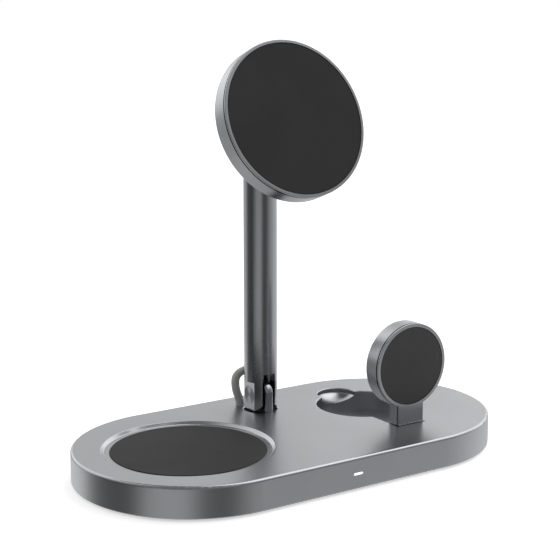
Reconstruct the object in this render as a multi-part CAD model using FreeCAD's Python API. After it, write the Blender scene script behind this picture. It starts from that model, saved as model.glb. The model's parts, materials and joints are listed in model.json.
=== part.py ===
import FreeCAD, Part
import math
import os

# Magnetic desk charger: a stadium base, a folding post with a tilting phone disc, and a folding watch arm.
# Millimetres. The origin is on the desk under the middle of the base, +Z is up and the front faces -Y.

V = FreeCAD.Vector
X_AXIS = V(1, 0, 0)
Z_AXIS = V(0, 0, 1)

# Base shell
base_length = 161.0
base_width = 84.0
base_height = 10.9
foot_show = 0.8
deck_wall = 3.0
side_wall = 2.5
deck_edge_round = 1.0
bottom_edge_chamfer = 0.4
rim_round = 0.4

# Bottom cover, rubber ring and screws
cover_thickness = 1.6
cover_lip = 1.2
cover_gap = 0.15
ring_inset = 4.0
ring_width = 7.0
ring_groove = 0.5
screw_inset = 7.5
screw_radius = 1.0
screw_head_radius = 1.9
screw_head_height = 0.9
screw_depth = 4.6
screw_gap = 0.02
boss_wall = 1.6
straight_screw_x = -34.0
end_screw_angle = 62.0

# Earbud dish
dish_from_left = 38.9
dish_y = -1.0
dish_ledge = 1.9
dish_slope = 1.1
dish_depth = 1.1
dish_cove_round = 0.5
pad_radius = 26.6
pad_thickness = 1.2
pad_proud = 0.25
pad_gap = 0.1
pad_edge_round = 0.25
pad_seat = 1.8
earbud_coil_step = 5.0
earbud_coil_inner = 8.0
earbud_coil_thickness = 1.2
earbud_ferrite_step = 3.0
earbud_ferrite_thickness = 0.8
carrier_step = 2.0
carrier_rim = 2.6
carrier_floor = 0.8

# Circuit board, power socket and indicator
board_standoff = 1.6
board_thickness = 1.2
board_left = -30.5
board_right = -9.0
board_back_gap = 0.7
board_arm_depth = 18.6
board_arm_right = 5.0
board_front_gap = 0.9
standoff_radius = 2.0
standoff_margin = 3.2
chip_height = 1.0
chip_size = 6.0
inductor_radius = 3.4
inductor_height = 1.4
capacitor_radius = 1.1
capacitor_height = 1.3
capacitor_pitch = 3.4
inlet_x = -21.0
inlet_width = 8.9
inlet_height = 3.2
inlet_length = 7.3
inlet_wall = 0.3
inlet_setback = 0.1
inlet_gap = 0.15
tongue_width = 6.7
tongue_thickness = 0.7
tongue_length = 5.2
lens_x = -0.4
lens_width = 3.7
lens_height = 0.75
lens_above_board = 0.8
lens_sink = 0.15
lens_inner_reach = 1.9
lens_gap = 0.1
led_width = 2.4
led_depth = 1.2
led_height = 1.3

# Post and its folding foot
post_x = 3.7
post_from_rear = 18.5
post_radius = 6.05
post_bore = 3.4
pin_above_deck = 6.0
foot_below_pin = 5.55
flat_distance = 5.0
flat_above_pin = 5.1
slot_width = 5.4
slot_above_pin = 8.2
cable_slot_above_pin = 12.8
foot_sweep_radius = 6.5
lug_thickness = 3.4
lug_front = 6.4
lug_back = 5.1
lug_notch_gap = 0.1
lug_above_pin = 4.9
lug_corner = 4.0
lug_edge_round = 1.2
pin_radius = 1.5
pin_head_radius = 3.25
pin_head_height = 0.6
pin_grip = 0.4
pin_gap = 0.05
pin_head_gap = 0.05
washer_radius = 3.4
washer_gap = 0.05
post_hole_radius = 6.2
flange_half_width = 7.6
flange_front = 13.0
flange_back = 9.2
flange_thickness = 3.0
lug_screw_x = 5.6
lug_screw_front = 10.4
lug_screw_back = 7.0
lug_screw_bite = 2.0
lug_screw_head_height = 1.1

# Cable behind the post
cable_radius = 1.55
cable_hole_left = 3.8
cable_hole_behind = 7.9
cable_gap = 0.05
grommet_wall = 0.4
lead_radius = 0.9
lead_bend = 2.0
connector_length = 5.0
connector_width = 6.0
connector_height = 2.8
loop_straight = 1.3
loop_bulge_height = 7.1
loop_bulge_left = 2.2
loop_bulge_back = 0.3
loop_shoulder_height = 12.9
loop_shoulder_left = 1.9
loop_shoulder_back = 0.4
loop_top_height = 14.7
bore_lead_in = 6.0

# Phone disc and its tilting lug
tilt_pivot_height = 111.75
tilt_at_rest = 20.85
tilt_reach = 17.3
phone_radius = 28.1
phone_thickness = 7.2
phone_wall = 2.2
phone_back_wall = 1.5
phone_back_round = 0.5
phone_front_round = 0.25
bezel_width = 1.2
bezel_depth = 0.55
bezel_gap = 0.1
phone_pad_sink = 0.1
phone_pad_thickness = 1.4
seam_width = 0.4
seam_depth = 0.55
phone_board_gap = 0.5
phone_board_thickness = 1.0
phone_ferrite_step = 0.3
phone_ferrite_thickness = 0.7
magnet_step = 0.2
magnet_width = 3.4
magnet_count = 16
magnet_gap_angle = 3.0
phone_coil_gap = 1.0
phone_coil_inner = 8.0
knuckle_radius = 4.6
neck_height = 8.0
head_flange_radius = 8.0
head_flange_thickness = 2.2
head_screw_offset = 5.4
head_screw_radius = 0.9
head_screw_head_radius = 1.6
head_screw_head_height = 0.8
head_screw_bite = 1.8
head_cable_entry = 10.4
head_cable_lead_in = 6.5
head_cable_below_slot = 9.0

# Watch arm
watch_from_right = 42.8
watch_from_front = 19.6
watch_height = 32.9
watch_radius = 15.3
watch_thickness = 6.8
watch_bezel_width = 1.35
watch_pad_sink = 0.1
watch_pad_gap = 0.1
watch_pad_thickness = 1.4
watch_frame_depth = 0.5
watch_wall = 2.3
watch_back_wall = 1.8
watch_back_round = 0.4
watch_front_round = 0.2
watch_ferrite_thickness = 0.8
watch_coil_gap = 0.6
watch_coil_inner = 4.4
watch_magnet_radius = 3.6
stem_width = 11.2
stem_thickness = 5.2
watch_pin_radius = 0.9
watch_pin_from_back = 1.2
watch_pin_wall = 2.4
watch_knuckle_radius = 2.2
flush_gap = 0.2

# Watch recess and finger scoop
recess_gap = 1.6
recess_shift_x = 0.7
recess_shift_y = 0.4
recess_depth = 7.6
recess_wall = 1.5
slot_gap = 0.5
scoop_shift_x = 0.3
scoop_overlap = 1.0
scoop_radius = 7.6
scoop_wall = 1.75
scoop_depth = 4.2

# Heights and places that follow from the sizes above
wall_inner_y = base_width / 2 - side_wall
dish_x = dish_from_left - base_length / 2
ledge_radius = pad_radius + dish_ledge
dish_radius = ledge_radius + dish_slope
earbud_coil_outer = pad_radius - earbud_coil_step
earbud_ferrite_radius = pad_radius - earbud_ferrite_step
carrier_radius = pad_radius + carrier_step
board_back = wall_inner_y - board_back_gap
board_front = board_front_gap - wall_inner_y
board_step = board_front + board_arm_depth
post_y = base_width / 2 - post_from_rear
cable_hole_x = post_x - cable_hole_left
cable_hole_y = post_y + cable_hole_behind
phone_pad_radius = phone_radius - bezel_width
phone_pad_low = -phone_pad_sink - phone_pad_thickness
phone_board_radius = phone_radius - phone_wall - phone_board_gap
phone_ferrite_radius = phone_board_radius - phone_ferrite_step
magnet_outer = phone_ferrite_radius - magnet_step
magnet_inner = magnet_outer - magnet_width
phone_coil_outer = magnet_inner - phone_coil_gap
watch_x = base_length / 2 - watch_from_right
watch_front_y = watch_from_front - base_width / 2
watch_pad_radius = watch_radius - watch_bezel_width
watch_pad_low = -watch_pad_sink - watch_pad_thickness
watch_pocket_radius = watch_radius - watch_wall
watch_coil_outer = watch_pocket_radius - watch_coil_gap
deck_z = foot_show + base_height
deck_under = deck_z - deck_wall
cover_top = foot_show + cover_thickness
end_x = (base_length - base_width) / 2
board_bottom = cover_top + board_standoff
board_top = board_bottom + board_thickness
pin_z = deck_z + pin_above_deck
dish_floor = deck_z - dish_depth
pad_top = dish_floor + pad_proud
pad_low = pad_top - pad_thickness
ferrite_z = pad_low - earbud_coil_thickness - earbud_ferrite_thickness
lens_z = board_top + lens_above_board
recess_floor = deck_z - recess_depth
recess_radius = watch_radius + recess_gap
watch_pin_reach = stem_thickness - watch_pin_from_back
watch_pin_y = watch_front_y + watch_pin_reach
watch_pin_z = deck_z - flush_gap - watch_pin_reach
recess_x = watch_x + recess_shift_x
recess_y = watch_pin_y + watch_height - watch_pin_z + recess_shift_y
stem_half = stem_width / 2
slot_half = stem_half + slot_gap
scoop_x = recess_x + scoop_shift_x
scoop_y = recess_y + recess_radius - scoop_overlap


def slab(width, depth, height, x, y, z):
    """A box centred on x and y that stands on height z."""
    return Part.makeBox(width, depth, height, V(x - width / 2, y - depth / 2, z))


def disc(radius, z_low, z_high, x=0.0, y=0.0):
    """An upright cylinder between two heights."""
    return Part.makeCylinder(radius, z_high - z_low, V(x, y, z_low))


def ring(outer, inner, z_low, z_high, x=0.0, y=0.0):
    """An upright tube between two heights."""
    return disc(outer, z_low, z_high, x, y).cut(disc(inner, z_low, z_high, x, y))


def bar(radius, x_low, x_high, y, z):
    """A cylinder along X."""
    return Part.makeCylinder(radius, x_high - x_low, V(x_low, y, z), X_AXIS)


def turned(points, x, y):
    """A solid of revolution about an upright axis, from radius and height pairs."""
    corners = [V(radius, 0, z) for radius, z in points]
    face = Part.Face(Part.makePolygon(corners + corners[:1]))
    solid = face.revolve(V(0, 0, 0), Z_AXIS, 360)
    return solid.translated(V(x, y, 0))


def stadium(inset, z_low, z_high):
    """A prism of the base's outline, drawn in from its edge by inset."""
    radius = base_width / 2 - inset
    corners = [V(-end_x, -radius, z_low), V(end_x, -radius, z_low)]
    corners += [V(end_x, radius, z_low), V(-end_x, radius, z_low)]
    edges = [
        Part.LineSegment(corners[0], corners[1]).toShape(),
        Part.Arc(corners[1], V(end_x + radius, 0, z_low), corners[2]).toShape(),
        Part.LineSegment(corners[2], corners[3]).toShape(),
        Part.Arc(corners[3], V(-end_x - radius, 0, z_low), corners[0]).toShape(),
    ]
    return Part.Face(Part.Wire(edges)).extrude(V(0, 0, z_high - z_low))


def pill(width, height, y_low, y_high, x, z):
    """A pill-shaped prism along Y, centred on x and z."""
    half = (width - height) / 2
    middle = slab(width - height, y_high - y_low, height, x, (y_low + y_high) / 2, z - height / 2)
    for side in (-half, half):
        end = Part.makeCylinder(height / 2, y_high - y_low, V(x + side, y_low, z), V(0, 1, 0))
        middle = middle.fuse(end)
    return middle.removeSplitter()


def edges_at(shape, z, tolerance=1e-4):
    """The edges of a shape that lie wholly at one height."""
    low = z - tolerance
    high = z + tolerance
    return [e for e in shape.Edges if e.BoundBox.ZMin > low and e.BoundBox.ZMax < high]


def rounded_path(points):
    """A wire of straight runs joined by tangent arcs, each as large as its runs allow."""
    edges = []
    start = points[0]
    for before, corner, after in zip(points, points[1:], points[2:]):
        back = (before - corner).normalize()
        ahead = (after - corner).normalize()
        half_turn = (math.pi - back.getAngle(ahead)) / 2
        reach = 0.45 * min((before - corner).Length, (after - corner).Length)
        radius = reach / math.tan(half_turn)
        print("cable bend radius", round(radius, 2))
        tangent_in = corner + back * reach
        tangent_out = corner + ahead * reach
        bisector = (back + ahead).normalize()
        middle = corner + bisector * (math.hypot(radius, reach) - radius)
        edges.append(Part.LineSegment(start, tangent_in).toShape())
        edges.append(Part.Arc(tangent_in, middle, tangent_out).toShape())
        start = tangent_out
    edges.append(Part.LineSegment(start, points[-1]).toShape())
    return Part.Wire(edges)


def cable(points, radius):
    """A round cable along a rounded path."""
    path = rounded_path(points)
    section = Part.Wire(Part.Circle(points[0], points[1] - points[0], radius).toShape())
    solid = path.makePipeShell([section], True, True)
    expected = math.pi * radius**2 * path.Length
    print("cable volume against section times length", round(solid.Volume / expected, 4))
    return solid


def screw(head_radius, head_height, radius, length, x, y, z):
    """A countersunk screw that points up, with its head's flat at height z."""
    points = [(0, z), (head_radius, z), (radius, z + head_height), (radius, z + length)]
    return turned(points + [(0, z + length)], x, y)


def cover_screw_places():
    """The six screw places round the base's edge."""
    reach = base_width / 2 - screw_inset
    across = reach * math.cos(math.radians(end_screw_angle))
    along = reach * math.sin(math.radians(end_screw_angle))
    ends = [(-end_x - reach, 0), (end_x + reach, 0), (end_x + across, along), (end_x + across, -along)]
    return ends + [(straight_screw_x, reach), (straight_screw_x, -reach)]


def standoff_places():
    """The board's four corner supports."""
    left = board_left + standoff_margin
    right = board_right - standoff_margin
    back = board_back - standoff_margin
    front = board_front + standoff_margin
    return [(left, back), (right, back), (left, front), (right, front)]


def lug_screw_places():
    """The three screws of the folding lug's flange, clear of the cable hole."""
    front = post_y - lug_screw_front
    back = post_y + lug_screw_back
    return [(post_x - lug_screw_x, front), (post_x + lug_screw_x, front), (post_x + lug_screw_x, back)]


# Base shell and cover


def watch_recess(grow, z_low, z_high):
    """The keyhole space of the folded watch arm, grown by a wall where one is asked for."""
    round_part = disc(recess_radius + grow, z_low, z_high, recess_x, recess_y)
    front = watch_front_y - slot_gap - grow
    width = 2 * (slot_half + grow)
    slot = slab(width, recess_y - front, z_high - z_low, watch_x, (front + recess_y) / 2, z_low)
    return round_part.fuse(slot).removeSplitter()


def finger_scoop():
    """A round finger dip behind the recess: a short upright wall over a dished ledge."""
    rise = scoop_depth - scoop_wall
    sphere_radius = (scoop_radius**2 + rise**2) / (2 * rise)
    bowl = Part.makeSphere(sphere_radius, V(scoop_x, scoop_y, deck_z - scoop_depth + sphere_radius))
    top = disc(scoop_radius, deck_z - scoop_depth, deck_z + 1, scoop_x, scoop_y)
    upper = disc(scoop_radius, deck_z - scoop_wall, deck_z + 1, scoop_x, scoop_y)
    return top.common(bowl).fuse(upper)


def base_shell():
    """The stadium shell with its dish, recess, scoop, post hole, socket and lens openings."""
    body = stadium(0, foot_show, deck_z)
    body = body.makeFillet(deck_edge_round, edges_at(body, deck_z))
    body = body.makeChamfer(bottom_edge_chamfer, edges_at(body, foot_show))
    pocket = stadium(side_wall, cover_top, deck_under)
    keep = watch_recess(recess_wall, cover_top, deck_under)
    keep = keep.fuse(disc(scoop_radius + recess_wall, cover_top, deck_under, scoop_x, scoop_y))
    block_width = 2 * (slot_half + watch_pin_wall)
    block_depth = 4 * watch_knuckle_radius
    keep = keep.fuse(slab(block_width, block_depth, deck_under - cover_top, watch_x, watch_pin_y, cover_top))
    for x, y in cover_screw_places():
        keep = keep.fuse(disc(screw_radius + boss_wall, cover_top, deck_under, x, y))
    body = body.cut(pocket.cut(keep))
    body = body.cut(stadium(cover_lip, foot_show - 1, cover_top))

    body = body.cut(watch_recess(0, recess_floor, deck_z + 1).fuse(finger_scoop()))
    body = body.cut(earbud_dish())
    body = body.cut(disc(post_hole_radius, deck_under - 1, deck_z + 1, post_x, post_y))
    body = body.makeFillet(rim_round, [e for e in edges_at(body, deck_z) if not outer_edge(e)])
    notch = lug_front + lug_notch_gap
    notch_width = lug_thickness + 2 * lug_notch_gap
    body = body.cut(slab(notch_width, notch, deck_wall + 2, post_x, post_y - notch / 2, deck_under - 1))
    body = body.cut(disc(pad_radius + pad_gap, pad_low, deck_z, dish_x, dish_y))
    body = body.cut(disc(pad_radius - pad_seat, deck_under - 1, deck_z, dish_x, dish_y))
    cable_hole = cable_radius + grommet_wall + cable_gap
    body = body.cut(disc(cable_hole, deck_under - 1, deck_z + 1, cable_hole_x, cable_hole_y))

    half = slot_half + watch_pin_wall
    pin_hole = watch_pin_radius + screw_gap
    body = body.cut(bar(pin_hole, watch_x - half, watch_x + half, watch_pin_y, watch_pin_z))
    outside = base_width / 2 + 1
    inside = wall_inner_y - 1
    width = inlet_width + 2 * inlet_gap
    body = body.cut(pill(width, inlet_height + 2 * inlet_gap, inside, outside, inlet_x, inlet_z()))
    width = lens_width + 2 * lens_gap
    body = body.cut(pill(width, lens_height + 2 * lens_gap, -outside, -inside, lens_x, lens_z))
    for x, y in cover_screw_places():
        top = foot_show + ring_groove + screw_depth + 0.2
        body = body.cut(disc(screw_radius + screw_gap, cover_top, top, x, y))
    for x, y in lug_screw_places():
        body = body.cut(disc(screw_radius + screw_gap, deck_under, deck_under + lug_screw_bite + 0.1, x, y))
    return body


def earbud_dish():
    """The shallow dish: a flat ledge round the pad and a sloped wall that meets it in a cove."""
    above = dish_radius + dish_slope / dish_depth
    points = [(0, dish_floor), (ledge_radius, dish_floor), (above, deck_z + 1), (0, deck_z + 1)]
    dish = turned(points, dish_x, dish_y)
    return dish.makeFillet(dish_cove_round, edges_at(dish, dish_floor))


def outer_edge(edge):
    """Whether an edge runs along the edge of the base's own flat top."""
    box = edge.BoundBox
    reach = base_width / 2 - 2 * deck_edge_round
    return max(abs(box.YMin), abs(box.YMax)) > reach or box.XMax > end_x + reach or box.XMin < -end_x - reach


def inlet_z():
    """The power socket's middle height, standing on the board."""
    return board_top + inlet_height / 2


def bottom_cover():
    """The plate in the shell's underside, grooved for the rubber ring and drilled for the screws."""
    plate = stadium(cover_lip + cover_gap, foot_show, cover_top)
    groove = stadium(ring_inset, foot_show - 1, foot_show + ring_groove)
    groove = groove.cut(stadium(ring_inset + ring_width, foot_show - 1, foot_show + ring_groove))
    plate = plate.cut(groove)
    for x, y in cover_screw_places():
        sunk = foot_show + ring_groove
        head = screw_head_radius + screw_gap
        plate = plate.cut(screw(head, screw_head_height, screw_radius + screw_gap, screw_depth, x, y, sunk))
    for x, y in standoff_places():
        plate = plate.fuse(disc(standoff_radius, cover_top, board_bottom, x, y))
    return plate.removeSplitter()


def rubber_foot():
    """The silicone ring that the base stands on, seated in the cover's groove."""
    body = stadium(ring_inset + cover_gap, 0, foot_show + ring_groove)
    return body.cut(stadium(ring_inset + ring_width - cover_gap, 0, foot_show + ring_groove))


def cover_screws():
    """Six countersunk screws, their heads flush with the groove."""
    sunk = foot_show + ring_groove
    screws = []
    for x, y in cover_screw_places():
        screws.append(screw(screw_head_radius, screw_head_height, screw_radius, screw_depth, x, y, sunk))
    return Part.makeCompound(screws)


# Earbud charger


def earbud_pad():
    """The soft pad let into the dish, a little proud of its ledge, with a rounded top edge."""
    body = disc(pad_radius, pad_low, pad_top, dish_x, dish_y)
    return body.makeFillet(pad_edge_round, edges_at(body, pad_top))


def earbud_coil():
    """The flat winding under the pad."""
    low = pad_low - earbud_coil_thickness
    return ring(earbud_coil_outer, earbud_coil_inner, low, pad_low, dish_x, dish_y)


def earbud_ferrite():
    """The shield disc under the winding."""
    return disc(earbud_ferrite_radius, ferrite_z, ferrite_z + earbud_ferrite_thickness, dish_x, dish_y)


def coil_carrier():
    """The tray that holds the winding, its rim against the deck's underside."""
    tray = disc(carrier_radius, ferrite_z - carrier_floor, deck_under, dish_x, dish_y)
    return tray.cut(disc(carrier_radius - carrier_rim, ferrite_z, deck_under, dish_x, dish_y))


# Circuit board, power socket and indicator


def main_board():
    """The L-shaped board from the rear socket to the front indicator."""
    outline = [(board_left, board_back), (board_right, board_back), (board_right, board_step)]
    outline += [(board_arm_right, board_step), (board_arm_right, board_front), (board_left, board_front)]
    corners = [V(x, y, board_bottom) for x, y in outline]
    return Part.Face(Part.makePolygon(corners + corners[:1])).extrude(V(0, 0, board_thickness))


def board_components():
    """Two chips, an inductor and a row of capacitors on the board."""
    middle = (board_left + board_right) / 2
    pieces = [disc(inductor_radius, board_top, board_top + inductor_height, middle, 0)]
    for y in (-2 * chip_size, 2 * chip_size):
        pieces.append(slab(chip_size, chip_size, chip_height, middle, y, board_top))
    row_y = chip_size + capacitor_radius
    for step in (-1, 0, 1):
        x = middle + step * capacitor_pitch
        pieces.append(disc(capacitor_radius, board_top, board_top + capacitor_height, x, row_y))
    return Part.makeCompound(pieces)


def inlet_span():
    """The power socket's inner end and mouth along Y."""
    mouth = base_width / 2 - inlet_setback
    return mouth - inlet_length, mouth


def power_inlet():
    """The socket's thin metal shell."""
    inner, mouth = inlet_span()
    shell = pill(inlet_width, inlet_height, inner, mouth, inlet_x, inlet_z())
    return shell.cut(inlet_hollow(inner, mouth))


def inlet_hollow(y_low, y_high):
    """The room inside the socket's shell between two places along Y."""
    height = inlet_height - 2 * inlet_wall
    return pill(inlet_width - 2 * inlet_wall, height, y_low, y_high, inlet_x, inlet_z())


def inlet_tongue():
    """The contact tongue on its rear block, inside the socket's shell."""
    inner, mouth = inlet_span()
    block = inlet_hollow(inner, mouth - tongue_length)
    depth = mouth - 2 * inlet_wall - inner
    low = inlet_z() - tongue_thickness / 2
    tongue = slab(tongue_width, depth, tongue_thickness, inlet_x, inner + depth / 2, low)
    return block.fuse(tongue).removeSplitter()


def lens_end():
    """Where the light guide meets the lamp."""
    return -wall_inner_y + lens_inner_reach


def indicator_lens():
    """The white pill in the front wall, run back as a light guide to the lamp."""
    return pill(lens_width, lens_height, lens_sink - base_width / 2, lens_end(), lens_x, lens_z)


def indicator_led():
    """The side-firing lamp on the board's front edge."""
    return slab(led_width, led_depth, led_height, lens_x, lens_end() + led_depth / 2, board_top)


# Folding foot


def hinge_lug():
    """The finger-shaped upright tongue on its flange under the deck."""
    low = deck_under
    top = pin_z + lug_above_pin
    centre = post_y + (lug_back - lug_front) / 2
    tongue = slab(lug_thickness, lug_front + lug_back, top - low, post_x, centre, low)
    corners = [e for e in edges_at(tongue, top) if e.BoundBox.YLength < 1e-6]
    tongue = tongue.makeFillet(lug_corner, corners)
    outline = [e for e in tongue.Edges if e.BoundBox.XLength < 1e-6 and e.BoundBox.ZMax > low + 1e-4]
    tongue = tongue.makeFillet(lug_edge_round, outline)
    middle = post_y + (flange_back - flange_front) / 2
    depth = flange_front + flange_back
    under = low - flange_thickness
    flange = slab(2 * flange_half_width, depth, flange_thickness, post_x, middle, under)
    cable_room = 2 * cable_radius
    flange = flange.cut(disc(cable_room, under, low, cable_hole_x, cable_hole_y))
    corner = Part.makeBox(flange_half_width, flange_back, flange_thickness)
    place = V(cable_hole_x - flange_half_width, cable_hole_y - cable_room, under)
    flange = flange.cut(corner.translated(place))
    lug = tongue.fuse(flange).removeSplitter()
    lug = lug.cut(bar(pin_radius + pin_gap, post_x - lug_thickness, post_x + lug_thickness, post_y, pin_z))
    for x, y in lug_screw_places():
        lug = lug.cut(disc(screw_radius + screw_gap, under, low, x, y))
    return lug


def lug_screws():
    """Three pan-head screws up through the flange into the deck."""
    head_top = deck_under - flange_thickness
    head_low = head_top - lug_screw_head_height
    screws = []
    for x, y in lug_screw_places():
        head = disc(screw_head_radius, head_low, head_top, x, y)
        shank = disc(screw_radius, head_low, deck_under + lug_screw_bite, x, y)
        screws.append(head.fuse(shank).removeSplitter())
    return Part.makeCompound(screws)


def clevis_end(pivot_z, end_z, inward):
    """What is cut from the post at one end: slot, side flats, pin hole and the seats of the pin's heads."""
    beyond = end_z - inward
    slot_end = pivot_z + inward * slot_above_pin
    flat_end = pivot_z + inward * flat_above_pin
    slot_height = abs(slot_end - beyond)
    flat_height = abs(flat_end - beyond)
    cuts = slab(slot_width, 4 * post_radius, slot_height, post_x, post_y, min(slot_end, beyond))
    head = pin_head_radius + pin_head_gap
    seat = flat_distance - pin_head_height
    for side in (-1, 1):
        x = post_x + side * (flat_distance + post_radius)
        flat = slab(2 * post_radius, 4 * post_radius, flat_height, x, post_y, min(flat_end, beyond))
        cuts = cuts.fuse(flat)
        low, high = sorted((post_x + side * seat, post_x + side * post_radius))
        cuts = cuts.fuse(bar(head, low, high, post_y, pivot_z))
    return cuts.fuse(bar(pin_radius + screw_gap, post_x - post_radius, post_x + post_radius, post_y, pivot_z))


def end_sweep(pivot_z, end_z, sides):
    """The corners beyond a round sweep about a pivot, on the sides given (-1 is the front)."""
    span = abs(end_z - pivot_z)
    corner = None
    for side in sides:
        y = post_y + side * post_radius
        block = slab(4 * post_radius, 2 * post_radius, span, post_x, y, min(pivot_z, end_z))
        corner = block if corner is None else corner.fuse(block)
    sweep = bar(foot_sweep_radius, post_x - 3 * post_radius, post_x + 3 * post_radius, post_y, pivot_z)
    return corner.cut(sweep)


def post_low():
    """The foot's lowest height."""
    return pin_z - foot_below_pin


def post_high():
    """The post's upper end."""
    return tilt_pivot_height + foot_below_pin


def post_tube():
    """The post, a tube that is slotted and flatted at both ends and rounded to swing clear of the deck."""
    slot_low = pin_z + slot_above_pin
    body = ring(post_radius, post_bore, post_low(), post_high(), post_x, post_y)
    body = body.cut(clevis_end(pin_z, post_low(), 1))
    body = body.cut(clevis_end(tilt_pivot_height, post_high(), -1))
    back_height = cable_slot_above_pin - slot_above_pin
    body = body.cut(slab(slot_width, 2 * post_radius, back_height, post_x, post_y + post_radius, slot_low))
    body = body.cut(end_sweep(pin_z, post_low(), (-1,)))
    return body.cut(end_sweep(tilt_pivot_height, post_high(), (-1, 1)))


def headed_pin(pivot_z):
    """A pin with a broad flat head, let in flush with the post's left flat."""
    left = post_x - flat_distance
    right = post_x + flat_distance - pin_head_height + pin_grip
    head = bar(pin_head_radius, left, left + pin_head_height, post_y, pivot_z)
    return head.fuse(bar(pin_radius, left, right, post_y, pivot_z)).removeSplitter()


def pin_nut(pivot_z):
    """The cap on the pin's other end, let in flush with the right flat."""
    right = post_x + flat_distance
    seat = right - pin_head_height
    cap = bar(pin_head_radius, seat, right, post_y, pivot_z)
    return cap.cut(bar(pin_radius + screw_gap, seat, seat + pin_grip, post_y, pivot_z))


def friction_washers(pivot_z):
    """Two washers that fill the slot beside the lug."""
    washers = []
    inner = lug_thickness / 2 + washer_gap
    outer = slot_width / 2
    for low, high in ((-outer, -inner), (inner, outer)):
        washer = bar(washer_radius, post_x + low, post_x + high, post_y, pivot_z)
        washers.append(washer.cut(bar(pin_radius + pin_gap, post_x + low, post_x + high, post_y, pivot_z)))
    return Part.makeCompound(washers)


# Cable


def cable_meeting():
    """Where the slack loop meets the cable inside the post."""
    return V(post_x, post_y, pin_z + cable_slot_above_pin + bore_lead_in)


def cable_loop():
    """The slack loop: up out of the deck, round, and into the back of the post's slot."""
    foot = V(cable_hole_x, cable_hole_y, deck_z)
    points = [
        V(cable_hole_x, cable_hole_y, deck_under),
        foot + V(0, 0, loop_straight),
        foot + V(-loop_bulge_left, loop_bulge_back, loop_bulge_height),
        foot + V(-loop_shoulder_left, loop_shoulder_back, loop_shoulder_height),
        V(post_x, cable_hole_y, deck_z + loop_top_height),
        V(post_x, post_y, pin_z + cable_slot_above_pin - cable_radius),
        cable_meeting(),
    ]
    return cable(points, cable_radius)


def cable_grommet():
    """The bush that lines the cable's hole in the deck."""
    inner = cable_radius + cable_gap
    return ring(cable_radius + grommet_wall, inner, deck_under, deck_z, cable_hole_x, cable_hole_y)


def lead_z():
    """The inner lead's height along the board."""
    return deck_under - lead_bend


def base_lead():
    """The inner lead, from under the cable's hole to its connector."""
    start = V(cable_hole_x, cable_hole_y, deck_under)
    turn = V(cable_hole_x - lead_bend, cable_hole_y, lead_z())
    slant = math.sqrt(0.5)
    middle = V(cable_hole_x - lead_bend * (1 - slant), cable_hole_y, deck_under - lead_bend * slant)
    edges = [Part.Arc(start, middle, turn).toShape()]
    edges.append(Part.LineSegment(turn, V(board_right, cable_hole_y, lead_z())).toShape())
    path = Part.Wire(edges)
    section = Part.Wire(Part.Circle(start, Z_AXIS, lead_radius).toShape())
    return path.makePipeShell([section], True, True)


def lead_connector():
    """The lead's connector at the board's edge."""
    x = board_right - connector_length / 2
    return slab(connector_length, connector_width, connector_height, x, cable_hole_y, board_top)


def post_cable():
    """The cable inside the post's bore."""
    start = cable_meeting()
    return Part.makeCylinder(cable_radius, head_cable_start().z - start.z, start)


# Phone disc, drawn face up about its own face and then tilted into place


def phone_face():
    """The middle of the phone disc's front."""
    reach = tilt_reach + phone_thickness
    angle = math.radians(tilt_at_rest)
    return V(post_x, post_y - reach * math.cos(angle), tilt_pivot_height + reach * math.sin(angle))


def tilted(shape):
    """A shape drawn face up at the origin, moved to the phone disc's place."""
    placed = shape.copy()
    placed.rotate(V(0, 0, 0), X_AXIS, 90 - tilt_at_rest)
    return placed.translated(phone_face())


def phone_housing():
    """The round metal cup, stepped in at its front for the dark seam and bored for the pad."""
    rim = -bezel_depth
    floor = phone_back_wall - phone_thickness
    body = disc(phone_radius, -phone_thickness, rim - seam_width)
    body = body.makeFillet(phone_back_round, edges_at(body, -phone_thickness))
    body = body.fuse(disc(phone_radius - seam_depth, rim - seam_width - 1, rim)).removeSplitter()
    body = body.cut(disc(phone_radius - phone_wall, floor, rim))
    body = body.cut(disc(phone_pad_radius + bezel_gap, phone_pad_low, rim))
    for side in (-1, 1):
        x = side * head_screw_offset
        body = body.cut(disc(head_screw_radius + screw_gap, -phone_thickness, floor, x, 0))
    body = body.cut(disc(cable_radius + cable_gap, -phone_thickness, floor, 0, -head_cable_entry))
    return tilted(body)


def phone_bezel():
    """The front ring round the pad."""
    body = disc(phone_radius, -bezel_depth, 0)
    body = body.makeFillet(phone_front_round, edges_at(body, 0))
    return tilted(body.cut(disc(phone_pad_radius + bezel_gap, -bezel_depth, 0)))


def phone_pad():
    """The dark face, seated on the step inside the housing."""
    body = disc(phone_pad_radius, phone_pad_low, -phone_pad_sink)
    return tilted(body.makeFillet(phone_front_round, edges_at(body, -phone_pad_sink)))


def phone_stack():
    """The heights of board, shield and windings between the back wall and the pad."""
    board_low = phone_back_wall - phone_thickness
    ferrite_low = board_low + phone_board_thickness
    return board_low, ferrite_low, ferrite_low + phone_ferrite_thickness


def phone_board():
    """The round board on the housing's back wall, cleared for the screw heads and the cable."""
    board_low, ferrite_low, _ = phone_stack()
    body = disc(phone_board_radius, board_low, ferrite_low)
    for side in (-1, 1):
        x = side * head_screw_offset
        body = body.cut(disc(head_screw_head_radius + 2 * pin_gap, board_low, ferrite_low, x, 0))
    return tilted(body)


def phone_ferrite():
    """The shield disc on the board."""
    _, low, high = phone_stack()
    return tilted(disc(phone_ferrite_radius, low, high))


def phone_coil():
    """The flat winding inside the magnet ring."""
    _, _, low = phone_stack()
    return tilted(ring(phone_coil_outer, phone_coil_inner, low, phone_pad_low))


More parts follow.
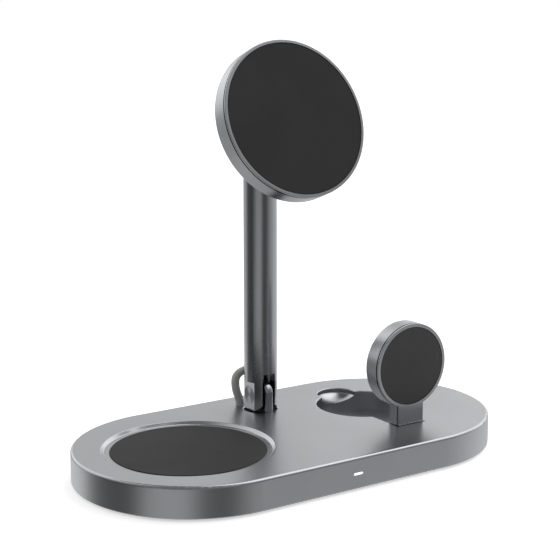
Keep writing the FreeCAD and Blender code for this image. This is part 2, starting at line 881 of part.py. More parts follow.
def phone_magnets():
    """The ring of arc magnets that lines the phone up."""
    _, _, low = phone_stack()
    step = 360.0 / magnet_count
    whole = ring(magnet_outer, magnet_inner, low, phone_pad_low)
    height = phone_pad_low - low
    magnets = []
    for index in range(magnet_count):
        wedge = Part.makeCylinder(magnet_outer + 1, height, V(0, 0, low), Z_AXIS, step - magnet_gap_angle)
        wedge.rotate(V(0, 0, 0), Z_AXIS, index * step)
        magnets.append(tilted(whole.common(wedge)))
    return Part.makeCompound(magnets)


def head_lug():
    """The lug on the disc's back: a round flange, a neck and a knuckle round the tilt pin."""
    back = -phone_thickness
    pivot = back - tilt_reach
    flange = disc(head_flange_radius, back - head_flange_thickness, back)
    neck = slab(lug_thickness, neck_height, tilt_reach - head_flange_thickness / 2, 0, 0, pivot)
    knuckle = bar(knuckle_radius, -lug_thickness / 2, lug_thickness / 2, 0, pivot)
    body = flange.fuse(neck).fuse(knuckle).removeSplitter()
    body = body.cut(bar(pin_radius + pin_gap, -lug_thickness, lug_thickness, 0, pivot))
    for side in (-1, 1):
        x = side * head_screw_offset
        body = body.cut(disc(head_screw_radius + screw_gap, back - head_screw_bite, back, x, 0))
    return tilted(body)


def head_lug_screws():
    """Two screws from inside the housing into the lug's flange."""
    seat = phone_back_wall - phone_thickness
    screws = []
    for side in (-1, 1):
        x = side * head_screw_offset
        head = disc(head_screw_head_radius, seat, seat + head_screw_head_height, x, 0)
        shank = disc(head_screw_radius, -phone_thickness - head_screw_bite, seat, x, 0)
        screws.append(tilted(head.fuse(shank).removeSplitter()))
    return Part.makeCompound(screws)


def head_cable_start():
    """Where the cable leaves the bore under the tilting knuckle."""
    return V(post_x, post_y, tilt_pivot_height - slot_above_pin - head_cable_below_slot)


def head_cable():
    """The slack cable from the post's front slot to the disc's back."""
    angle = math.radians(tilt_at_rest)
    normal = V(0, -math.cos(angle), math.sin(angle))
    upward = V(0, math.sin(angle), math.cos(angle))
    entry = phone_face() - normal * (phone_thickness - phone_back_wall) - upward * head_cable_entry
    exit_z = tilt_pivot_height - slot_above_pin + cable_radius + 2 * cable_gap
    points = [
        head_cable_start(),
        V(post_x, post_y, exit_z + 4 * cable_gap),
        V(post_x, post_y - post_radius - cable_radius / 2, exit_z - 4 * cable_gap),
        entry - normal * head_cable_lead_in,
        entry,
    ]
    return cable(points, cable_radius)


# Watch arm, drawn face up about the middle of its face, stem towards -Y, and then stood up


def stood_up(shape):
    """A shape drawn face up at the origin, moved to the watch arm's place."""
    placed = shape.copy()
    placed.rotate(V(0, 0, 0), X_AXIS, 90)
    return placed.translated(V(watch_x, watch_front_y, watch_height))


def stem_pin_drop():
    """How far the hinge pin lies below the middle of the face."""
    return watch_height - watch_pin_z


def keyhole(inset, z_head, z_stem, z_high):
    """The arm's outline, a disc with a stem, as a prism with a low side for each."""
    head = disc(watch_radius - inset, z_head, z_high)
    drop = stem_pin_drop() + watch_knuckle_radius
    stem = slab(stem_width - 2 * inset, drop, z_high - z_stem, 0, -drop / 2, z_stem)
    return head.fuse(stem).removeSplitter()


def stem_sweep():
    """The corner of the stem's end beyond its round sweep about the hinge pin."""
    drop = stem_pin_drop()
    pin_depth = -watch_pin_reach
    beyond = -drop - watch_knuckle_radius
    block = slab(2 * stem_width, 2 * watch_knuckle_radius, stem_thickness, 0, beyond, -stem_thickness)
    front = bar(watch_pin_reach, -2 * stem_width, 2 * stem_width, -drop, pin_depth)
    knuckle = bar(watch_knuckle_radius, -2 * stem_width, 2 * stem_width, -drop, pin_depth)
    front_half = slab(4 * stem_width, 8 * watch_knuckle_radius, watch_pin_reach, 0, -drop, pin_depth)
    return block.cut(front.common(front_half)).cut(knuckle)


def watch_back_shell():
    """The arm's rear half: a thick disc on a thinner stem, with seam step, coil pocket and knuckle."""
    seam_z = -watch_frame_depth
    body = keyhole(0, -watch_thickness, -stem_thickness, seam_z - seam_width)
    body = body.makeFillet(watch_back_round, edges_at(body, -watch_thickness))
    step_z = seam_z - seam_width - 1
    body = body.fuse(keyhole(seam_depth, step_z, step_z, seam_z)).removeSplitter()
    knuckle = bar(watch_knuckle_radius, -stem_half, stem_half, -stem_pin_drop(), -watch_pin_reach)
    body = body.cut(stem_sweep()).fuse(knuckle).removeSplitter()
    body = body.cut(disc(watch_pocket_radius, watch_back_wall - watch_thickness, seam_z))
    body = body.cut(disc(watch_pad_radius + watch_pad_gap, watch_pad_low, seam_z))
    hole = bar(watch_pin_radius + pin_gap, -stem_width, stem_width, -stem_pin_drop(), -watch_pin_reach)
    return stood_up(body.cut(hole))


def watch_front_frame():
    """The arm's thin front plate, with the opening of the face."""
    body = keyhole(0, -watch_frame_depth, -watch_frame_depth, 0).cut(stem_sweep())
    body = body.makeFillet(watch_front_round, edges_at(body, 0))
    return stood_up(body.cut(disc(watch_pad_radius + watch_pad_gap, -watch_frame_depth, 0)))


def watch_pad():
    """The dark face, seated on the step inside the rear half."""
    body = disc(watch_pad_radius, watch_pad_low, -watch_pad_sink)
    return stood_up(body.makeFillet(watch_front_round, edges_at(body, -watch_pad_sink)))


def watch_floor():
    """The heights of the pocket's floor and the shield's top."""
    low = watch_back_wall - watch_thickness
    return low, low + watch_ferrite_thickness


def watch_ferrite():
    """The shield disc on the pocket's floor."""
    low, high = watch_floor()
    return stood_up(disc(watch_coil_outer, low, high))


def watch_coil():
    """The winding round the magnet."""
    return stood_up(ring(watch_coil_outer, watch_coil_inner, watch_floor()[1], watch_pad_low))


def watch_magnet():
    """The centre magnet that holds the watch."""
    return stood_up(disc(watch_magnet_radius, watch_floor()[1], watch_pad_low))


def watch_hinge_pin():
    """The steel pin across the recess's slot."""
    half = slot_half + watch_pin_wall
    return bar(watch_pin_radius, watch_x - half, watch_x + half, watch_pin_y, watch_pin_z)


PARTS = {
    "base_shell": base_shell,
    "bottom_cover": bottom_cover,
    "rubber_foot": rubber_foot,
    "cover_screws": cover_screws,
    "earbud_pad": earbud_pad,
    "earbud_coil": earbud_coil,
    "earbud_ferrite": earbud_ferrite,
    "coil_carrier": coil_carrier,
    "main_board": main_board,
    "board_components": board_components,
    "power_inlet": power_inlet,
    "inlet_tongue": inlet_tongue,
    "indicator_lens": indicator_lens,
    "indicator_led": indicator_led,
    "hinge_lug": hinge_lug,
    "lug_screws": lug_screws,
    "cable_grommet": cable_grommet,
    "cable_loop": cable_loop,
    "base_lead": base_lead,
    "lead_connector": lead_connector,
    "watch_hinge_pin": watch_hinge_pin,
    "post_tube": post_tube,
    "hinge_pin": lambda: headed_pin(pin_z),
    "hinge_nut": lambda: pin_nut(pin_z),
    "hinge_washers": lambda: friction_washers(pin_z),
    "post_cable": post_cable,
    "head_pin": lambda: headed_pin(tilt_pivot_height),
    "head_nut": lambda: pin_nut(tilt_pivot_height),
    "head_washers": lambda: friction_washers(tilt_pivot_height),
    "head_cable": head_cable,
    "phone_housing": phone_housing,
    "phone_bezel": phone_bezel,
    "phone_pad": phone_pad,
    "phone_magnets": phone_magnets,
    "phone_coil": phone_coil,
    "phone_ferrite": phone_ferrite,
    "phone_board": phone_board,
    "head_lug": head_lug,
    "head_lug_screws": head_lug_screws,
    "watch_back_shell": watch_back_shell,
    "watch_front_frame": watch_front_frame,
    "watch_pad": watch_pad,
    "watch_coil": watch_coil,
    "watch_ferrite": watch_ferrite,
    "watch_magnet": watch_magnet,
}

os.makedirs("parts", exist_ok=True)
for name, build in PARTS.items():
    shape = build()
    print(name, "valid", shape.isValid(), "solids", len(shape.Solids), "volume", round(shape.Volume, 1))
    shape.exportStep("parts/" + name + ".step")
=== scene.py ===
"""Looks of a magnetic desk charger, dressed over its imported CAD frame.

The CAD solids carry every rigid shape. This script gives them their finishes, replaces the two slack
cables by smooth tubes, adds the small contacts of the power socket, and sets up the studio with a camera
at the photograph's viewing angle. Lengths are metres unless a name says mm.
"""

from __future__ import annotations

import json
import logging
import math
from dataclasses import dataclass
from enum import Enum
from typing import Any, Protocol

import bmesh
import bpy
from mathutils import Matrix, Vector

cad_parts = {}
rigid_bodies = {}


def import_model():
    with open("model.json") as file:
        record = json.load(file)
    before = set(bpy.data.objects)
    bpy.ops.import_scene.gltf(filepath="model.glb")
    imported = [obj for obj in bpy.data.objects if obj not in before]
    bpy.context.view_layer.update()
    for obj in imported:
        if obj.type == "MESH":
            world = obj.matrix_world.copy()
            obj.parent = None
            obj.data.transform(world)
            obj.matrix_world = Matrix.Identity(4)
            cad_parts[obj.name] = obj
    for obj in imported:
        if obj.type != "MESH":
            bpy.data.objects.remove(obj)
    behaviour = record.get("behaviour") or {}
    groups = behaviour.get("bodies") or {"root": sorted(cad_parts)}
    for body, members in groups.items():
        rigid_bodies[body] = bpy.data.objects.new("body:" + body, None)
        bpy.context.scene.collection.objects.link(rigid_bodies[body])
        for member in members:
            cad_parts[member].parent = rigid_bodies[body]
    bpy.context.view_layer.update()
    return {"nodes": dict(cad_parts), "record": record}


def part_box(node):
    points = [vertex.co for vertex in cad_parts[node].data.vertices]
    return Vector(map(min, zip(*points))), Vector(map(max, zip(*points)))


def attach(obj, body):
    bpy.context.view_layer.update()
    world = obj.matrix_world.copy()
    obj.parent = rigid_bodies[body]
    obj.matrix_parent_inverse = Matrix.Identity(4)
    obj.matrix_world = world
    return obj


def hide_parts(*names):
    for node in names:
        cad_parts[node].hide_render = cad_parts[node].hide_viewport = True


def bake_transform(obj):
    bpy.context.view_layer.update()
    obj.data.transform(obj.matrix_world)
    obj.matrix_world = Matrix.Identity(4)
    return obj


LOG = logging.getLogger("desk_charger")
MM = 0.001

Colour = tuple[float, float, float]
Stops = tuple[tuple[float, float], ...]
NodeTree = bpy.types.NodeTree
Socket = bpy.types.NodeSocket

WHITE: Colour = (1.0, 1.0, 1.0)
ANODISED_GREY: Colour = (0.37, 0.375, 0.39)
TURNED_STEEL: Colour = (0.42, 0.425, 0.44)
# Painted shade: the copper between the wire's turns is darkened to this colour.
WIRE_GAP_SHADE: Colour = (0.20, 0.07, 0.03)
WIRE_CROWN: Colour = (0.78, 0.38, 0.18)

# Scales of the shared effects: grains along a metre, their depth in metres, and how dense handling marks lie
METAL_GRAIN = 5200.0
METAL_GRAIN_DEPTH = 0.000012
BOARD_GRAIN = 3000.0
LENS_CLOUD = 900.0
METAL_MARKS = 24.0
SOFT_MARKS = 35.0

# Gains of a metal's colour where it is clean and where it is marked, and how much rougher the marks are
CLEAN_GAIN = 1.02
MARKED_GAIN = 0.96
MARKED_ROUGHER = 0.04

# Upright share of a surface normal where a stretch stops being level, and where it stops being a wall
LEVEL_END = (0.999, 0.992)
WALL_END = (0.05, 0.15)
# Sideways share of a normal above which a stretch of the post counts as a flat
FLAT_SHARE = 0.99

# Depths behind the charging faces at which the painted shade in the seams starts and ends
PHONE_SEAM_SHADE = (0.42 * MM, 1.05 * MM)
WATCH_SEAM_SHADE = (0.38 * MM, 0.95 * MM)
CABLE_RADIUS = 1.55 * MM

# Studio panels, band by band from below: degrees from the camera's side, and the brightness there
UNDER_PANEL: Colour = (0.65, 0.65, 0.65)
UNDER_FADE = (-0.75, -0.4)
FLOOR_PANELS: Stops = (
    (-180, 0.8),
    (-126, 1.28),
    (-114, 0.8),
    (-105, 0.36),
    (-94, 0.15),
    (-56, 0.05),
    (-42, 0.78),
    (-4, 0.76),
    (9, 0.09),
    (36, 0.07),
    (54, 0.58),
    (120, 1.1),
    (180, 0.8),
)
LOW_PANELS: Stops = (
    (-180, 0.8),
    (-150, 0.65),
    (-126, 0.7),
    (-110, 0.55),
    (-94, 0.13),
    (-46, 0.03),
    (-26, 0.42),
    (4, 0.5),
    (20, 0.12),
    (46, 0.08),
    (66, 0.38),
    (120, 0.85),
    (180, 0.8),
)
MID_PANELS: Stops = (
    (-180, 0.89),
    (-170, 0.84),
    (-160, 1.15),
    (-152, 1.55),
    (-138, 1.55),
    (-122, 1.25),
    (-106, 1.2),
    (-90, 0.45),
    (-40, 0.35),
    (40, 0.3),
    (75, 0.4),
    (105, 0.8),
    (138, 1.9),
    (152, 1.9),
    (162, 1.4),
    (172, 1.1),
    (180, 0.94),
)
TOP_PANELS: Stops = (
    (-180, 0.95),
    (-130, 1.6),
    (-93, 1.1),
    (-45, 0.3),
    (35, 0.3),
    (70, 1.5),
    (96, 2.3),
    (140, 2.3),
    (180, 0.95),
)
CROWN_PANELS: Stops = (
    (-180, 0.55),
    (-166, 0.12),
    (-128, 0.12),
    (-93, 1.1),
    (-45, 0.3),
    (35, 0.3),
    (70, 1.5),
    (96, 2.3),
    (150, 2.3),
    (180, 0.55),
)
# The bands above the lowest one, each with the heights of a direction between which it fades in
UPPER_BANDS = (
    (LOW_PANELS, (-0.275, -0.25)),
    (MID_PANELS, (0.02, 0.14)),
    (TOP_PANELS, (0.5, 0.72)),
    (CROWN_PANELS, (0.76, 0.82)),
)


class Body(Enum):
    """The CAD bodies that the new pieces ride on."""

    BASE = "base"
    POST = "post"
    HEAD = "head"


class Axis(Enum):
    """The axis that a turned or ringed pattern runs about, as a rotation that brings it upright."""

    UPRIGHT = (0.0, 0.0, 0.0)
    SIDEWAYS = (0.0, math.pi / 2, 0.0)
    FACING = (math.pi / 2, 0.0, 0.0)

    @property
    def letter(self) -> str:
        """The axis's letter, as Blender's radial tangent wants it."""
        return {Axis.UPRIGHT: "Z", Axis.SIDEWAYS: "X", Axis.FACING: "Y"}[self]


def millimetres(*values: float) -> Vector:
    """A point given in millimetres, in metres."""
    return Vector(value * MM for value in values)


class Graph:
    """A shader graph with short calls for adding nodes and joining them.

    Args:
        tree: The node tree that the nodes go into.
    """

    def __init__(self, tree: NodeTree) -> None:
        """Keep the tree and start from an empty one."""
        self.tree = tree
        self.tree.nodes.clear()

    def add(self, kind: str, inputs: dict[str | int, Any] | None = None, **settings: Any) -> bpy.types.Node:
        """Add a node.

        Args:
            kind: The node's type name without its ShaderNode prefix.
            inputs: Values or sockets by input name or place.
            settings: Properties of the node itself.

        Returns:
            The new node.
        """
        node = self.tree.nodes.new("ShaderNode" + kind)
        for name, value in settings.items():
            setattr(node, name, value)
        for key, value in (inputs or {}).items():
            self.give(node.inputs[key], value)
        return node

    def give(self, target: Socket, value: Any) -> None:
        """Join an input to a socket, or set it to a plain value."""
        if isinstance(value, bpy.types.NodeSocket):
            self.tree.links.new(value, target)
        else:
            target.default_value = value

    def math(self, operation: str, first: Socket | float, second: Socket | float = 0.0) -> Socket:
        """Add a Math node and return its result."""
        return self.add("Math", {0: first, 1: second}, operation=operation).outputs[0]

    def remap(self, value: Socket, low: float, high: float, to_low: float, to_high: float) -> Socket:
        """Add a Map Range node and return its result."""
        inputs = {"Value": value, "From Min": low, "From Max": high, "To Min": to_low, "To Max": to_high}
        return self.add("MapRange", inputs, clamp=True).outputs["Result"]

    def blend(self, factor: Socket, first: Any, second: Any) -> Socket:
        """Mix two colours by a factor and return the result."""
        node = self.add("Mix", data_type="RGBA")
        sockets = {socket.identifier: socket for socket in node.inputs}
        for name, value in (("Factor_Float", factor), ("A_Color", first), ("B_Color", second)):
            self.give(sockets[name], value)
        return next(out for out in node.outputs if out.identifier == "Result_Color")


def opaque(colour: Colour, gain: float = 1.0) -> tuple[float, float, float, float]:
    """A colour with full alpha, brightened by a gain."""
    return tuple(channel * gain for channel in colour) + (1.0,)


class EffectGroups:
    """The shader node groups that several finishes share, each built once."""

    def __init__(self) -> None:
        """Build every group."""
        self.grain = self._blasted_grain()
        self.marks = self._handling_marks()
        self.rings = self._turned_rings()

    @staticmethod
    def _new(
        name: str, inputs: dict[str, str], outputs: dict[str, str]
    ) -> tuple[NodeTree, Graph, bpy.types.Node, bpy.types.Node]:
        """Make an empty group with its sockets.

        Args:
            name: The group's name.
            inputs: Socket types by input name.
            outputs: Socket types by output name.

        Returns:
            The tree, its graph, and its input and output nodes.
        """
        tree = bpy.data.node_groups.new(name, "ShaderNodeTree")
        for socket, kind in inputs.items():
            tree.interface.new_socket(socket, in_out="INPUT", socket_type=kind)
        for socket, kind in outputs.items():
            tree.interface.new_socket(socket, in_out="OUTPUT", socket_type=kind)
        graph = Graph(tree)
        source = tree.nodes.new("NodeGroupInput")
        sink = tree.nodes.new("NodeGroupOutput")
        return tree, graph, source, sink

    def _blasted_grain(self) -> NodeTree:
        """Fine pitting of a blasted or moulded surface: a height that feeds a bump."""
        inputs = {"Vector": "NodeSocketVector", "Scale": "NodeSocketFloat"}
        tree, graph, source, sink = self._new("blasted_grain", inputs, {"Height": "NodeSocketFloat"})
        place, scale = source.outputs["Vector"], source.outputs["Scale"]
        fine = graph.add("TexNoise", {"Vector": place, "Scale": scale, "Detail": 3.0, "Roughness": 0.6})
        wide_scale = graph.math("MULTIPLY", scale, 0.3)
        wide = graph.add("TexNoise", {"Vector": place, "Scale": wide_scale, "Detail": 2.0})
        height = graph.math("ADD", graph.math("MULTIPLY", wide.outputs["Fac"], 0.6), fine.outputs["Fac"])
        tree.links.new(height, sink.inputs["Height"])
        return tree

    def _handling_marks(self) -> NodeTree:
        """Broad smudges and sparse fine scuffs, as a mask from 0 to 1."""
        inputs = {"Vector": "NodeSocketVector", "Scale": "NodeSocketFloat"}
        tree, graph, source, sink = self._new("handling_marks", inputs, {"Mask": "NodeSocketFloat"})
        place, scale = source.outputs["Vector"], source.outputs["Scale"]
        smudge = graph.add(
            "TexNoise",
            {"Vector": place, "Scale": scale, "Detail": 4.0, "Roughness": 0.55, "Distortion": 0.6},
        )
        stretched = graph.add("Mapping", {"Vector": place, "Scale": (1.0, 7.0, 1.0)})
        scuff_scale = graph.math("MULTIPLY", scale, 5.0)
        scuff = graph.add("TexNoise", {"Vector": stretched.outputs[0], "Scale": scuff_scale, "Detail": 5.0})
        scuffs = graph.remap(scuff.outputs["Fac"], 0.62, 0.78, 0.0, 0.35)
        body = graph.remap(smudge.outputs["Fac"], 0.35, 0.75, 0.0, 0.75)
        tree.links.new(graph.math("ADD", body, scuffs), sink.inputs["Mask"])
        return tree

    def _turned_rings(self) -> NodeTree:
        """Concentric tool marks about the Z axis of the vector, as a height and a mask."""
        inputs = {"Vector": "NodeSocketVector", "Pitch": "NodeSocketFloat"}
        outputs = {"Height": "NodeSocketFloat", "Mask": "NodeSocketFloat"}
        tree, graph, source, sink = self._new("turned_rings", inputs, outputs)
        parts = graph.add("SeparateXYZ", {0: source.outputs["Vector"]})
        across = graph.math("POWER", parts.outputs["X"], 2.0)
        along = graph.math("POWER", parts.outputs["Y"], 2.0)
        radius = graph.math("SQRT", graph.math("ADD", across, along))
        turns = graph.math("DIVIDE", radius, source.outputs["Pitch"])
        uneven = graph.add("TexNoise", {"W": turns, "Scale": 0.7, "Detail": 3.0}, noise_dimensions="1D")
        wave = graph.math("SINE", graph.math("MULTIPLY", turns, math.tau))
        height = graph.math("MULTIPLY", graph.math("ADD", wave, 1.0), 0.5)
        tree.links.new(height, sink.inputs["Height"])
        tree.links.new(uneven.outputs["Fac"], sink.inputs["Mask"])
        return tree


class Surface:
    """A material under construction: its graph, its Principled shader and its coordinates.

    Args:
        name: The material's name.
    """

    def __init__(self, name: str) -> None:
        """Make the material with a Principled shader on Object coordinates."""
        self.material = bpy.data.materials.new(name)
        self.material.use_nodes = True
        self.graph = Graph(self.material.node_tree)
        self.shader = self.graph.add("BsdfPrincipled")
        self.graph.add("OutputMaterial", {"Surface": self.shader.outputs["BSDF"]})
        self.where = self.graph.add("TexCoord").outputs["Object"]

    def set(self, **values: Any) -> None:
        """Set plain values on the shader's own sockets, with _ for a blank in a name."""
        for name, value in values.items():
            self.shader.inputs[name.replace("_", " ")].default_value = value

    def feed(self, socket: str, source: Socket) -> None:
        """Feed one of the shader's sockets."""
        self.graph.give(self.shader.inputs[socket], source)

    def group(self, tree: NodeTree, **inputs: Any) -> bpy.types.Node:
        """Place an effect group with its own values."""
        return self.graph.add("Group", inputs, node_tree=tree)

    def bump(self, height: Socket, depth: float) -> None:
        """Add a bump of a given depth in metres to the shader's normal."""
        node = self.graph.add("Bump", {"Height": height, "Distance": depth, "Strength": 1.0})
        self.feed("Normal", node.outputs["Normal"])

    def marks(self, groups: EffectGroups, scale: float) -> Socket:
        """Place handling marks of a given density and return their mask."""
        return self.group(groups.marks, Vector=self.where, Scale=scale).outputs["Mask"]

    def grain(self, groups: EffectGroups, scale: float, depth: float) -> None:
        """Add a fine grain, by its count along a metre and its depth in metres."""
        node = self.group(groups.grain, Vector=self.where, Scale=scale)
        self.bump(node.outputs["Height"], depth)

    def centred(self, centre: Vector, axis: Axis) -> Socket:
        """Coordinates about a centre, turned so that the pattern's axis is Z."""
        moved = self.graph.add("VectorMath", {0: self.where, 1: tuple(centre)}, operation="SUBTRACT")
        turned = self.graph.add("Mapping", {"Vector": moved.outputs[0], "Rotation": axis.value})
        return turned.outputs[0]


class Finish(Protocol):
    """What every finish offers."""

    @property
    def name(self) -> str:
        """The material's name."""

    def make(self, groups: EffectGroups) -> bpy.types.Material:
        """Build the material."""


@dataclass(frozen=True)
class PaintedSeamShade:
    """Painted shade in the groove round a disc, behind its front ring: the metal there is darkened to stand
    for the shade.

    Attributes:
        face: A point on the disc's face.
        normal: The way that the face looks.
        near: The groove's start behind the face, in metres.
        far: The groove's end behind the face, in metres.
        tone: The gain of the metal's colour inside the groove, which paints the shade there.
    """

    face: Vector
    normal: Vector
    near: float
    far: float
    tone: float = 0.2

    def mask(self, surface: Surface) -> Socket:
        """1 inside the groove, where the shade is painted, and 0 elsewhere."""
        graph = surface.graph
        offset = graph.add("VectorMath", {0: surface.where, 1: tuple(self.face)}, operation="SUBTRACT")
        dot = graph.add("VectorMath", {0: offset.outputs[0], 1: tuple(self.normal)}, operation="DOT_PRODUCT")
        ahead = dot.outputs["Value"]
        started = graph.math("LESS_THAN", ahead, -self.near)
        return graph.math("MULTIPLY", started, graph.math("GREATER_THAN", ahead, -self.far))


@dataclass(frozen=True)
class AnodisedFinish:
    """Blasted and anodised aluminium.

    Attributes:
        name: The material's name.
        colour: The metal's colour.
        roughness: The roughness of a clean stretch.
        grain: How many grains lie along a metre.
        depth: The grain's depth in metres.
        seam_shade: The painted shade in the groove, on a disc that has one.
        curved: The roughness of rounded and sloping stretches, where they are smoother than the level ones.
    """

    name: str
    colour: Colour
    roughness: float
    grain: float = METAL_GRAIN
    depth: float = METAL_GRAIN_DEPTH
    seam_shade: PaintedSeamShade | None = None
    curved: float | None = None

    def make(self, groups: EffectGroups) -> bpy.types.Material:
        """Build the material."""
        surface = Surface(self.name)
        surface.set(Metallic=1.0)
        marks = surface.marks(groups, METAL_MARKS)
        tone = surface.graph.blend(marks, opaque(self.colour, CLEAN_GAIN), opaque(self.colour, MARKED_GAIN))
        if self.seam_shade:
            # Painted shade: the groove's metal is darkened by the seam's tone.
            tone = surface.graph.blend(self.seam_shade.mask(surface), tone, opaque(self.colour, self.seam_shade.tone))
        surface.feed("Base Color", tone)
        rough = surface.graph.remap(marks, 0.0, 1.0, self.roughness, self.roughness + MARKED_ROUGHER)
        if self.curved:
            rough = self.smoothed(surface.graph, rough)
        surface.feed("Roughness", rough)
        surface.grain(groups, self.grain, self.depth)
        return surface.material

    def smoothed(self, graph: Graph, rough: Socket) -> Socket:
        """Lower the roughness where the surface is neither level nor a wall.

        Args:
            graph: The material's graph.
            rough: The roughness of the level stretches.

        Returns:
            The roughness everywhere.
        """
        normal = graph.add("NewGeometry").outputs["Normal"]
        upright = graph.math("ABSOLUTE", graph.add("SeparateXYZ", {0: normal}).outputs["Z"])
        off_level = graph.remap(upright, *LEVEL_END, 0.0, 1.0)
        off_wall = graph.remap(upright, *WALL_END, 0.0, 1.0)
        mask = graph.math("MULTIPLY", off_level, off_wall)
        return graph.math("SUBTRACT", rough, graph.math("MULTIPLY", mask, self.roughness - self.curved))


@dataclass(frozen=True)
class BrightCutFinish:
    """An anodised aluminium post with flats that were cut bright, and painted shade that darkens the slot
    and the bore.

    Attributes:
        name: The material's name.
        colour: The metal's colour.
        roughness: The roughness of the blasted skin.
        bright: The gain of the bright flats.
        hollow_shade: The gain of the painted shade inside the slot and the bore.
        centre: A point on the post's axis.
        reach: The distance from the axis to just inside a flat, in metres.
        limit: The distance to just outside a flat, in metres.
        skin: The distance to just inside the round skin, in metres.
        polish: How much smoother the flats are than the skin.
    """

    name: str
    colour: Colour
    roughness: float
    bright: float
    hollow_shade: float
    centre: Vector
    reach: float
    limit: float
    skin: float
    polish: float = 0.06

    def make(self, groups: EffectGroups) -> bpy.types.Material:
        """Build the material."""
        surface = Surface(self.name)
        surface.set(Metallic=1.0)
        graph = surface.graph
        place = graph.add("SeparateXYZ", {0: surface.where})
        aside = graph.math("SUBTRACT", place.outputs["X"], self.centre.x)
        behind = graph.math("SUBTRACT", place.outputs["Y"], self.centre.y)
        distance = graph.math("ABSOLUTE", aside)
        beyond = graph.math("GREATER_THAN", distance, self.reach)
        flat = graph.math("MULTIPLY", beyond, graph.math("LESS_THAN", distance, self.limit))
        squares = (graph.math("MULTIPLY", aside, aside), graph.math("MULTIPLY", behind, behind))
        radius = graph.math("SQRT", graph.math("ADD", *squares))
        # Painted shade: the bore and the slot are masked here and their metal is darkened, standing for the
        # shade inside the post.
        within = graph.math("LESS_THAN", radius, self.skin)
        inside = graph.math("MULTIPLY", within, graph.math("LESS_THAN", distance, self.reach))
        normal = graph.add("NewGeometry").outputs["True Normal"]
        facing = graph.add("SeparateXYZ", {0: normal}).outputs["X"]
        sideways = graph.math("GREATER_THAN", graph.math("ABSOLUTE", facing), FLAT_SHARE)
        cut = graph.math("MULTIPLY", flat, sideways)
        marks = surface.marks(groups, METAL_MARKS)
        skin = graph.blend(marks, opaque(self.colour, CLEAN_GAIN), opaque(self.colour, MARKED_GAIN))
        outside = graph.blend(cut, skin, opaque(self.colour, self.bright))
        surface.feed("Base Color", graph.blend(inside, outside, opaque(self.colour, self.hollow_shade)))
        surface.feed("Roughness", graph.remap(cut, 0.0, 1.0, self.roughness, self.roughness - self.polish))
        surface.grain(groups, METAL_GRAIN, METAL_GRAIN_DEPTH)
        return surface.material


@dataclass(frozen=True)
class TurnedFinish:
    """Turned steel with concentric tool marks.

    Attributes:
        name: The material's name.
        colour: The metal's colour.
        roughness: The roughness across the marks.
        centre: A point on the turning axis.
        axis: The turning axis.
        pitch: The distance between marks in metres.
    """

    name: str
    colour: Colour
    roughness: float
    centre: Vector
    axis: Axis
    pitch: float = 0.00016

    def make(self, groups: EffectGroups) -> bpy.types.Material:
        """Build the material."""
        surface = Surface(self.name)
        surface.set(Metallic=1.0, Anisotropic=1.0, Anisotropic_Rotation=0.25)
        tangent = surface.graph.add("Tangent", direction_type="RADIAL", axis=self.axis.letter)
        surface.feed("Tangent", tangent.outputs[0])
        place = surface.centred(self.centre, self.axis)
        rings = surface.group(groups.rings, Vector=place, Pitch=self.pitch)
        uneven = rings.outputs["Mask"]
        tone = surface.graph.blend(uneven, opaque(self.colour, 0.8), opaque(self.colour, 1.2))
        surface.feed("Base Color", tone)
        low, high = self.roughness - 0.06, self.roughness + 0.1
        surface.feed("Roughness", surface.graph.remap(uneven, 0.3, 0.7, low, high))
        surface.bump(rings.outputs["Height"], self.pitch * 0.12)
        return surface.material


@dataclass(frozen=True)
class SoftFinish:
    """Soft-touch silicone, rubber or moulded plastic with a fine matt grain.

    Attributes:
        name: The material's name.
        colour: The surface colour.
        roughness: The roughness of a clean stretch.
        grain: How many grains lie along a metre.
        depth: The grain's depth in metres.
    """

    name: str
    colour: Colour
    roughness: float
    grain: float = 6500.0
    depth: float = 0.00002

    def make(self, groups: EffectGroups) -> bpy.types.Material:
        """Build the material."""
        surface = Surface(self.name)
        surface.set(Specular_IOR_Level=0.4)
        marks = surface.marks(groups, SOFT_MARKS)
        tone = surface.graph.blend(marks, opaque(self.colour), opaque(self.colour, 1.14))
        surface.feed("Base Color", tone)
        low, high = self.roughness + 0.04, self.roughness - 0.06
        surface.feed("Roughness", surface.graph.remap(marks, 0.0, 1.0, low, high))
        surface.grain(groups, self.grain, self.depth)
        return surface.material


@dataclass(frozen=True)
class WindingFinish:
    """Varnished copper wire wound in a flat spiral, with painted shade darkening the gaps between turns.

    Attributes:
        name: The material's name.
        centre: The middle of the winding.
        axis: The winding's axis.
        wire: The wire's thickness in metres.
    """

    name: str
    centre: Vector
    axis: Axis
    wire: float = 0.0009

    def make(self, groups: EffectGroups) -> bpy.types.Material:
        """Build the material."""
        surface = Surface(self.name)
        surface.set(Metallic=1.0, Coat_Weight=0.6, Coat_Roughness=0.15)
        place = surface.centred(self.centre, self.axis)
        rings = surface.group(groups.rings, Vector=place, Pitch=self.wire)
        # Painted shade: the copper is darkened in the gaps between turns.
        tone = surface.graph.blend(rings.outputs["Height"], opaque(WIRE_GAP_SHADE), opaque(WIRE_CROWN))
        surface.feed("Base Color", tone)
        surface.feed("Roughness", surface.graph.remap(rings.outputs["Mask"], 0.3, 0.7, 0.22, 0.38))
        surface.bump(rings.outputs["Height"], self.wire * 0.4)
        return surface.material


